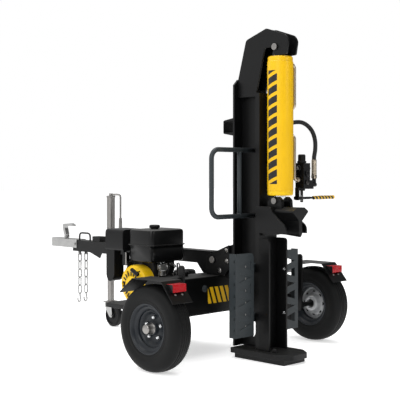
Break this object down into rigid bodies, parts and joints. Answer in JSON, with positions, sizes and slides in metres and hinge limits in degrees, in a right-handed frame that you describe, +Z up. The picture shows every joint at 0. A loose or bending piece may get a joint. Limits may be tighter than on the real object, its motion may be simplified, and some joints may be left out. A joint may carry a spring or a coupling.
{
  "type": "log splitter",
  "caption": "Towable hydraulic log splitter: an upright beam with a cylinder-driven wedge over a foot, tilting level over a tow tongue, with engine, oil tank and wheels.",
  "frame": {"origin": "the middle of the footprint, on the ground, with the beam upright", "axes": "+Z up; +Y forward to the tow coupler, with the log bay facing -Y; +X to the right-hand wheel, the side with the control valve"},
  "size_m": [1.504, 2.246, 1.8596],
  "materials": {
    "black_paint": "satin",
    "grey_paint": "satin",
    "yellow_paint": "gloss",
    "rim_paint": "gloss",
    "zinc_plate": "satin",
    "chrome_plate": "polished",
    "engine_alloy": "satin",
    "black_plastic": "matte",
    "red_lens": "gloss",
    "tyre_rubber": "matte",
    "hose_rubber": "matte"
  },
  "bodies": {
    "chassis": {"hydraulic_tank": "black_paint", "tilt_bracket": "black_paint", "tilt_pin": "zinc_plate", "stub_axle_left": "black_paint", "stub_axle_right": "black_paint", "fender_left": "black_paint", "fender_right": "black_paint", "tail_light_left": "red_lens", "tail_light_right": "red_lens", "tongue": "black_paint", "coupler": "zinc_plate", "jack_mount": "zinc_plate", "engine_deck": "black_paint", "engine_block": "engine_alloy", "fan_cover": "yellow_paint", "fuel_tank": "black_plastic", "air_cleaner": "black_plastic", "muffler": "engine_alloy", "hydraulic_pump": "engine_alloy"},
    "beam": {"beam": "black_paint", "foot": "black_paint", "guide_rail_left": "black_paint", "guide_rail_right": "black_paint", "cylinder_tower": "black_paint", "tongue_rest": "black_paint", "beam_bracket": "black_paint", "tilt_handle": "grey_paint", "log_catcher_left": "grey_paint", "log_catcher_right": "grey_paint", "cylinder_barrel": "yellow_paint", "cylinder_gland": "yellow_paint", "cylinder_pin": "zinc_plate", "port_pipe": "zinc_plate", "valve_body": "black_paint", "hydraulic_hose": "hose_rubber", "bulkhead_elbow": "zinc_plate"},
    "ram": {"wedge": "black_paint", "piston_rod": "chrome_plate", "rod_pin": "zinc_plate"},
    "valve_handle": {"valve_lever": "zinc_plate", "lever_grip": "black_plastic"},
    "spool": {"valve_spool": "chrome_plate"},
    "wheel_left": {"tyre_left": "tyre_rubber", "rim_left": "rim_paint"},
    "wheel_right": {"tyre_right": "tyre_rubber", "rim_right": "rim_paint"},
    "jack": {"jack_tube": "zinc_plate"},
    "jack_foot": {"jack_leg": "zinc_plate"},
    "crank": {"jack_crank": "zinc_plate"},
    "swivel": {"caster_fork": "zinc_plate"},
    "caster": {"caster_wheel": "black_plastic"},
    "latch": {"coupler_latch": "zinc_plate"},
    "chain_left": {"safety_chain_left": "zinc_plate"},
    "chain_right": {"safety_chain_right": "zinc_plate"},
    "tank_cap": {"fuel_cap": "black_plastic"},
    "breather": {"filler_breather": "black_plastic"},
    "throttle": {"throttle_lever": "grey_paint"},
    "crankshaft": {"drive_coupling": "engine_alloy"},
    "lock_plunger": {"lock_pin": "zinc_plate"},
    "pull_grip": {"recoil_grip": "black_plastic"}
  },
  "joints": [
    {"name": "beam_tilt", "type": "hinge", "parent": "chassis", "child": "beam", "pos_m": [0, -0.542, 0.545], "axis": [1, 0, 0], "range_deg": [-90, 0]},
    {"name": "ram_stroke", "type": "slide", "parent": "beam", "child": "ram", "axis": [0, 0, -1], "range_m": [0, 0.61]},
    {"name": "valve_lever_tilt", "type": "hinge", "parent": "beam", "child": "valve_handle", "pos_m": [0.15, -0.978, 0.908], "axis": [0, 1, 0], "range_deg": [-10, 10], "stiffness_Nm_per_rad": 40, "springref_deg": -1.15},
    {"name": "valve_spool_travel", "type": "slide", "parent": "beam", "child": "spool", "axis": [0, 0, 1], "range_m": [-0.0075, 0.0075]},
    {"name": "wheel_left_roll", "type": "hinge", "parent": "chassis", "child": "wheel_left", "pos_m": [-0.68, -0.687, 0.2325], "axis": [1, 0, 0], "continuous": true},
    {"name": "wheel_right_roll", "type": "hinge", "parent": "chassis", "child": "wheel_right", "pos_m": [0.68, -0.687, 0.2325], "axis": [1, 0, 0], "continuous": true},
    {"name": "jack_swivel", "type": "hinge", "parent": "chassis", "child": "jack", "pos_m": [0.0625, 0.635, 0.5495], "axis": [1, 0, 0], "range_deg": [-90, 0]},
    {"name": "jack_crank_turn", "type": "hinge", "parent": "jack", "child": "crank", "pos_m": [0.118, 0.635, 0.9], "axis": [0, 0, 1], "range_deg": [-1800, 3960]},
    {"name": "jack_leg_travel", "type": "slide", "parent": "jack", "child": "jack_foot", "axis": [0, 0, 1], "range_m": [-0.0501, 0.1101]},
    {"name": "caster_swivel", "type": "hinge", "parent": "jack_foot", "child": "swivel", "pos_m": [0.118, 0.635, 0.16], "axis": [0, 0, 1], "continuous": true},
    {"name": "caster_roll", "type": "hinge", "parent": "swivel", "child": "caster", "pos_m": [0.118, 0.601, 0.076], "axis": [1, 0, 0], "continuous": true},
    {"name": "coupler_latch_lift", "type": "hinge", "parent": "chassis", "child": "latch", "pos_m": [0, 0.976, 0.603], "axis": [1, 0, 0], "range_deg": [-60, 0]},
    {"name": "chain_left_swing", "type": "hinge", "parent": "chassis", "child": "chain_left", "pos_m": [-0.027, 0.793, 0.5], "axis": [1, 0, 0], "range_deg": [-40, 40]},
    {"name": "chain_right_swing", "type": "hinge", "parent": "chassis", "child": "chain_right", "pos_m": [0.027, 0.793, 0.5], "axis": [1, 0, 0], "range_deg": [-40, 40]},
    {"name": "fuel_cap_turn", "type": "hinge", "parent": "chassis", "child": "tank_cap", "pos_m": [-0.3, -0.267, 0.735], "axis": [0, 0, 1], "range_deg": [0, 90]},
    {"name": "breather_turn", "type": "hinge", "parent": "chassis", "child": "breather", "pos_m": [-0.255, -0.472, 0.475], "axis": [0, 0, 1], "range_deg": [0, 360]},
    {"name": "throttle_swing", "type": "hinge", "parent": "chassis", "child": "throttle", "pos_m": [-0.431, -0.163, 0.52], "axis": [1, 0, 0], "range_deg": [-25, 25]},
    {"name": "crankshaft_turn", "type": "hinge", "parent": "chassis", "child": "crankshaft", "pos_m": [-0.11, -0.217, 0.4], "axis": [1, 0, 0], "continuous": true},
    {"name": "lock_pin_travel", "type": "slide", "parent": "chassis", "child": "lock_plunger", "axis": [1, 0, 0], "range_m": [-0.018, 0]},
    {"name": "starter_pull", "type": "slide", "parent": "chassis", "child": "pull_grip", "axis": [-1, 0, 0], "range_m": [0, 0.05], "stiffness_N_per_m": 60}
  ],
  "couplings": [
    {"joint": "valve_spool_travel", "follows": "valve_lever_tilt", "m_per_rad": -0.04},
    {"joint": "jack_leg_travel", "follows": "jack_crank_turn", "m_per_rad": 0.0015915}
  ]
}
